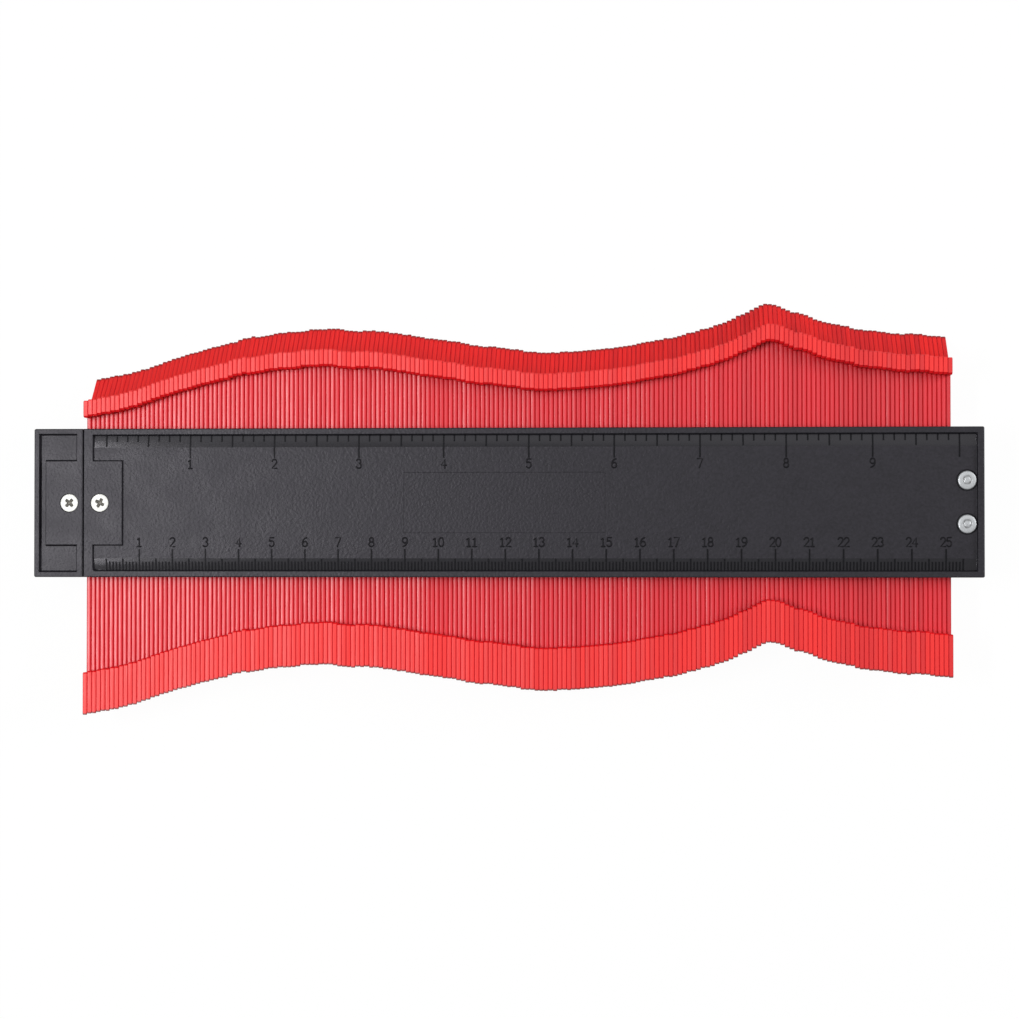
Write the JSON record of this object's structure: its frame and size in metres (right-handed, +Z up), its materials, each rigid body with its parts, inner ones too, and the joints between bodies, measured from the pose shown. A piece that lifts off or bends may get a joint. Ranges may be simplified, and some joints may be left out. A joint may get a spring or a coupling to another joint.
{
  "type": "contour gauge",
  "caption": "Contour gauge with a stack of sliding red leaves in a black ruler-faced housing, pressed to a shape and held by friction.",
  "frame": {"origin": "middle of the footprint, on the surface that the gauge lies on", "axes": "+X along the ruler away from the end block, +Y along the leaves' travel, +Z up out of the front face"},
  "size_m": [0.283, 0.1246, 0.0186],
  "materials": {
    "shell_plastic": "finely grained charcoal black moulding",
    "leaf_plastic": "bright red moulding with a soft sheen",
    "screw_steel": "bright nickel-plated steel",
    "joiner_steel": "plain zinc-plated steel",
    "rivet_aluminium": "satin aluminium, peened in front"
  },
  "bodies": {
    "housing": {"front_shell": "shell_plastic", "rear_shell": "shell_plastic", "end_block": "shell_plastic", "front_joiner_plate": "joiner_steel", "rear_joiner_plate": "joiner_steel", "front_end_block_screw": "screw_steel", "front_shell_screw": "screw_steel", "rear_end_block_screw": "screw_steel", "rear_shell_screw": "screw_steel", "upper_rivet": "rivet_aluminium", "lower_rivet": "rivet_aluminium"},
    "leaf_pack_01": {"leaf_pack_01": "leaf_plastic"},
    "leaf_pack_02": {"leaf_pack_02": "leaf_plastic"},
    "leaf_pack_03": {"leaf_pack_03": "leaf_plastic"},
    "leaf_pack_04": {"leaf_pack_04": "leaf_plastic"},
    "leaf_pack_05": {"leaf_pack_05": "leaf_plastic"},
    "leaf_pack_06": {"leaf_pack_06": "leaf_plastic"},
    "leaf_pack_07": {"leaf_pack_07": "leaf_plastic"},
    "leaf_pack_08": {"leaf_pack_08": "leaf_plastic"},
    "leaf_pack_09": {"leaf_pack_09": "leaf_plastic"},
    "leaf_pack_10": {"leaf_pack_10": "leaf_plastic"},
    "leaf_pack_11": {"leaf_pack_11": "leaf_plastic"},
    "leaf_pack_12": {"leaf_pack_12": "leaf_plastic"},
    "leaf_pack_13": {"leaf_pack_13": "leaf_plastic"},
    "leaf_pack_14": {"leaf_pack_14": "leaf_plastic"},
    "leaf_pack_15": {"leaf_pack_15": "leaf_plastic"},
    "leaf_pack_16": {"leaf_pack_16": "leaf_plastic"},
    "leaf_pack_17": {"leaf_pack_17": "leaf_plastic"},
    "leaf_pack_18": {"leaf_pack_18": "leaf_plastic"},
    "leaf_pack_19": {"leaf_pack_19": "leaf_plastic"},
    "leaf_pack_20": {"leaf_pack_20": "leaf_plastic"},
    "leaf_pack_21": {"leaf_pack_21": "leaf_plastic"},
    "leaf_pack_22": {"leaf_pack_22": "leaf_plastic"},
    "leaf_pack_23": {"leaf_pack_23": "leaf_plastic"},
    "leaf_pack_24": {"leaf_pack_24": "leaf_plastic"},
    "leaf_pack_25": {"leaf_pack_25": "leaf_plastic"},
    "leaf_pack_26": {"leaf_pack_26": "leaf_plastic"},
    "leaf_pack_27": {"leaf_pack_27": "leaf_plastic"},
    "leaf_pack_28": {"leaf_pack_28": "leaf_plastic"},
    "leaf_pack_29": {"leaf_pack_29": "leaf_plastic"},
    "leaf_pack_30": {"leaf_pack_30": "leaf_plastic"},
    "leaf_pack_31": {"leaf_pack_31": "leaf_plastic"},
    "leaf_pack_32": {"leaf_pack_32": "leaf_plastic"},
    "leaf_pack_33": {"leaf_pack_33": "leaf_plastic"},
    "leaf_pack_34": {"leaf_pack_34": "leaf_plastic"},
    "leaf_pack_35": {"leaf_pack_35": "leaf_plastic"},
    "leaf_pack_36": {"leaf_pack_36": "leaf_plastic"},
    "leaf_pack_37": {"leaf_pack_37": "leaf_plastic"},
    "leaf_pack_38": {"leaf_pack_38": "leaf_plastic"},
    "leaf_pack_39": {"leaf_pack_39": "leaf_plastic"},
    "leaf_pack_40": {"leaf_pack_40": "leaf_plastic"},
    "leaf_pack_41": {"leaf_pack_41": "leaf_plastic"},
    "leaf_pack_42": {"leaf_pack_42": "leaf_plastic"},
    "leaf_pack_43": {"leaf_pack_43": "leaf_plastic"},
    "leaf_pack_44": {"leaf_pack_44": "leaf_plastic"},
    "leaf_pack_45": {"leaf_pack_45": "leaf_plastic"},
    "leaf_pack_46": {"leaf_pack_46": "leaf_plastic"},
    "leaf_pack_47": {"leaf_pack_47": "leaf_plastic"},
    "leaf_pack_48": {"leaf_pack_48": "leaf_plastic"}
  },
  "joints": [
    {"name": "leaf_pack_01_slide", "type": "slide", "parent": "housing", "child": "leaf_pack_01", "axis": [0, 1, 0], "range_m": [-0.0032, 0.0276]},
    {"name": "leaf_pack_02_slide", "type": "slide", "parent": "housing", "child": "leaf_pack_02", "axis": [0, 1, 0], "range_m": [-0.0044, 0.0267]},
    {"name": "leaf_pack_03_slide", "type": "slide", "parent": "housing", "child": "leaf_pack_03", "axis": [0, 1, 0], "range_m": [-0.0055, 0.0253]},
    {"name": "leaf_pack_04_slide", "type": "slide", "parent": "housing", "child": "leaf_pack_04", "axis": [0, 1, 0], "range_m": [-0.007, 0.0232]},
    {"name": "leaf_pack_05_slide", "type": "slide", "parent": "housing", "child": "leaf_pack_05", "axis": [0, 1, 0], "range_m": [-0.0089, 0.0215]},
    {"name": "leaf_pack_06_slide", "type": "slide", "parent": "housing", "child": "leaf_pack_06", "axis": [0, 1, 0], "range_m": [-0.0107, 0.0199]},
    {"name": "leaf_pack_07_slide", "type": "slide", "parent": "housing", "child": "leaf_pack_07", "axis": [0, 1, 0], "range_m": [-0.0122, 0.0185]},
    {"name": "leaf_pack_08_slide", "type": "slide", "parent": "housing", "child": "leaf_pack_08", "axis": [0, 1, 0], "range_m": [-0.0137, 0.0172]},
    {"name": "leaf_pack_09_slide", "type": "slide", "parent": "housing", "child": "leaf_pack_09", "axis": [0, 1, 0], "range_m": [-0.0152, 0.0154]},
    {"name": "leaf_pack_10_slide", "type": "slide", "parent": "housing", "child": "leaf_pack_10", "axis": [0, 1, 0], "range_m": [-0.016, 0.015]},
    {"name": "leaf_pack_11_slide", "type": "slide", "parent": "housing", "child": "leaf_pack_11", "axis": [0, 1, 0], "range_m": [-0.0171, 0.0141]},
    {"name": "leaf_pack_12_slide", "type": "slide", "parent": "housing", "child": "leaf_pack_12", "axis": [0, 1, 0], "range_m": [-0.0176, 0.0138]},
    {"name": "leaf_pack_13_slide", "type": "slide", "parent": "housing", "child": "leaf_pack_13", "axis": [0, 1, 0], "range_m": [-0.0183, 0.0133]},
    {"name": "leaf_pack_14_slide", "type": "slide", "parent": "housing", "child": "leaf_pack_14", "axis": [0, 1, 0], "range_m": [-0.0183, 0.0132]},
    {"name": "leaf_pack_15_slide", "type": "slide", "parent": "housing", "child": "leaf_pack_15", "axis": [0, 1, 0], "range_m": [-0.0176, 0.0138]},
    {"name": "leaf_pack_16_slide", "type": "slide", "parent": "housing", "child": "leaf_pack_16", "axis": [0, 1, 0], "range_m": [-0.0176, 0.0138]},
    {"name": "leaf_pack_17_slide", "type": "slide", "parent": "housing", "child": "leaf_pack_17", "axis": [0, 1, 0], "range_m": [-0.0171, 0.0141]},
    {"name": "leaf_pack_18_slide", "type": "slide", "parent": "housing", "child": "leaf_pack_18", "axis": [0, 1, 0], "range_m": [-0.0162, 0.0148]},
    {"name": "leaf_pack_19_slide", "type": "slide", "parent": "housing", "child": "leaf_pack_19", "axis": [0, 1, 0], "range_m": [-0.0154, 0.0157]},
    {"name": "leaf_pack_20_slide", "type": "slide", "parent": "housing", "child": "leaf_pack_20", "axis": [0, 1, 0], "range_m": [-0.0145, 0.0165]},
    {"name": "leaf_pack_21_slide", "type": "slide", "parent": "housing", "child": "leaf_pack_21", "axis": [0, 1, 0], "range_m": [-0.0137, 0.0173]},
    {"name": "leaf_pack_22_slide", "type": "slide", "parent": "housing", "child": "leaf_pack_22", "axis": [0, 1, 0], "range_m": [-0.0127, 0.0185]},
    {"name": "leaf_pack_23_slide", "type": "slide", "parent": "housing", "child": "leaf_pack_23", "axis": [0, 1, 0], "range_m": [-0.0124, 0.0188]},
    {"name": "leaf_pack_24_slide", "type": "slide", "parent": "housing", "child": "leaf_pack_24", "axis": [0, 1, 0], "range_m": [-0.0117, 0.0195]},
    {"name": "leaf_pack_25_slide", "type": "slide", "parent": "housing", "child": "leaf_pack_25", "axis": [0, 1, 0], "range_m": [-0.0109, 0.0205]},
    {"name": "leaf_pack_26_slide", "type": "slide", "parent": "housing", "child": "leaf_pack_26", "axis": [0, 1, 0], "range_m": [-0.0108, 0.0207]},
    {"name": "leaf_pack_27_slide", "type": "slide", "parent": "housing", "child": "leaf_pack_27", "axis": [0, 1, 0], "range_m": [-0.0111, 0.0204]},
    {"name": "leaf_pack_28_slide", "type": "slide", "parent": "housing", "child": "leaf_pack_28", "axis": [0, 1, 0], "range_m": [-0.0113, 0.02]},
    {"name": "leaf_pack_29_slide", "type": "slide", "parent": "housing", "child": "leaf_pack_29", "axis": [0, 1, 0], "range_m": [-0.0118, 0.0196]},
    {"name": "leaf_pack_30_slide", "type": "slide", "parent": "housing", "child": "leaf_pack_30", "axis": [0, 1, 0], "range_m": [-0.0124, 0.0188]},
    {"name": "leaf_pack_31_slide", "type": "slide", "parent": "housing", "child": "leaf_pack_31", "axis": [0, 1, 0], "range_m": [-0.0131, 0.0176]},
    {"name": "leaf_pack_32_slide", "type": "slide", "parent": "housing", "child": "leaf_pack_32", "axis": [0, 1, 0], "range_m": [-0.0142, 0.0166]},
    {"name": "leaf_pack_33_slide", "type": "slide", "parent": "housing", "child": "leaf_pack_33", "axis": [0, 1, 0], "range_m": [-0.0151, 0.0156]},
    {"name": "leaf_pack_34_slide", "type": "slide", "parent": "housing", "child": "leaf_pack_34", "axis": [0, 1, 0], "range_m": [-0.0167, 0.0139]},
    {"name": "leaf_pack_35_slide", "type": "slide", "parent": "housing", "child": "leaf_pack_35", "axis": [0, 1, 0], "range_m": [-0.0179, 0.0124]},
    {"name": "leaf_pack_36_slide", "type": "slide", "parent": "housing", "child": "leaf_pack_36", "axis": [0, 1, 0], "range_m": [-0.0197, 0.0099]},
    {"name": "leaf_pack_37_slide", "type": "slide", "parent": "housing", "child": "leaf_pack_37", "axis": [0, 1, 0], "range_m": [-0.0222, 0.0075]},
    {"name": "leaf_pack_38_slide", "type": "slide", "parent": "housing", "child": "leaf_pack_38", "axis": [0, 1, 0], "range_m": [-0.0249, 0.0064]},
    {"name": "leaf_pack_39_slide", "type": "slide", "parent": "housing", "child": "leaf_pack_39", "axis": [0, 1, 0], "range_m": [-0.0227, 0.0071]},
    {"name": "leaf_pack_40_slide", "type": "slide", "parent": "housing", "child": "leaf_pack_40", "axis": [0, 1, 0], "range_m": [-0.0212, 0.009]},
    {"name": "leaf_pack_41_slide", "type": "slide", "parent": "housing", "child": "leaf_pack_41", "axis": [0, 1, 0], "range_m": [-0.0195, 0.0112]},
    {"name": "leaf_pack_42_slide", "type": "slide", "parent": "housing", "child": "leaf_pack_42", "axis": [0, 1, 0], "range_m": [-0.0185, 0.0126]},
    {"name": "leaf_pack_43_slide", "type": "slide", "parent": "housing", "child": "leaf_pack_43", "axis": [0, 1, 0], "range_m": [-0.0172, 0.0139]},
    {"name": "leaf_pack_44_slide", "type": "slide", "parent": "housing", "child": "leaf_pack_44", "axis": [0, 1, 0], "range_m": [-0.0167, 0.0146]},
    {"name": "leaf_pack_45_slide", "type": "slide", "parent": "housing", "child": "leaf_pack_45", "axis": [0, 1, 0], "range_m": [-0.0159, 0.0153]},
    {"name": "leaf_pack_46_slide", "type": "slide", "parent": "housing", "child": "leaf_pack_46", "axis": [0, 1, 0], "range_m": [-0.016, 0.0155]},
    {"name": "leaf_pack_47_slide", "type": "slide", "parent": "housing", "child": "leaf_pack_47", "axis": [0, 1, 0], "range_m": [-0.0153, 0.016]},
    {"name": "leaf_pack_48_slide", "type": "slide", "parent": "housing", "child": "leaf_pack_48", "axis": [0, 1, 0], "range_m": [-0.0151, 0.0166]}
  ]
}
